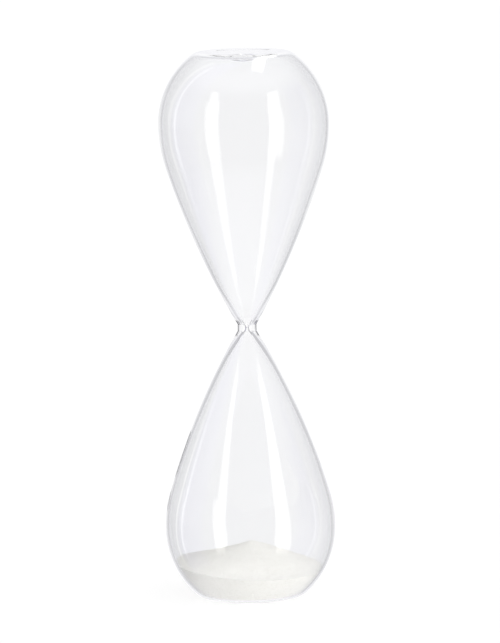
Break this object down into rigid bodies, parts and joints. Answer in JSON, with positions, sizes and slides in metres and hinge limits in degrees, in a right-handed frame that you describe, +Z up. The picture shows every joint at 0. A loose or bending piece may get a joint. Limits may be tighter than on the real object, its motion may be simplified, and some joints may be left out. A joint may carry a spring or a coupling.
{
  "type": "hourglass",
  "caption": "Frameless blown-glass hourglass: two clear teardrop bulbs joined by a narrow neck, with fine white sand in the lower bulb.",
  "frame": {"origin": "centre of the standing ring, on the plane the glass stands on", "axes": "+Z up along the axis that both bulbs and the neck turn about; X and Y are level"},
  "size_m": [0.0936, 0.0936, 0.3],
  "materials": {
    "glass": "clear, fire polished",
    "sand": "fine dry matte grain"
  },
  "bodies": {
    "root": {"lower_bulb": "glass", "upper_bulb": "glass", "neck": "glass", "fill_seal": "glass", "sand": "sand"}
  },
  "joints": []
}
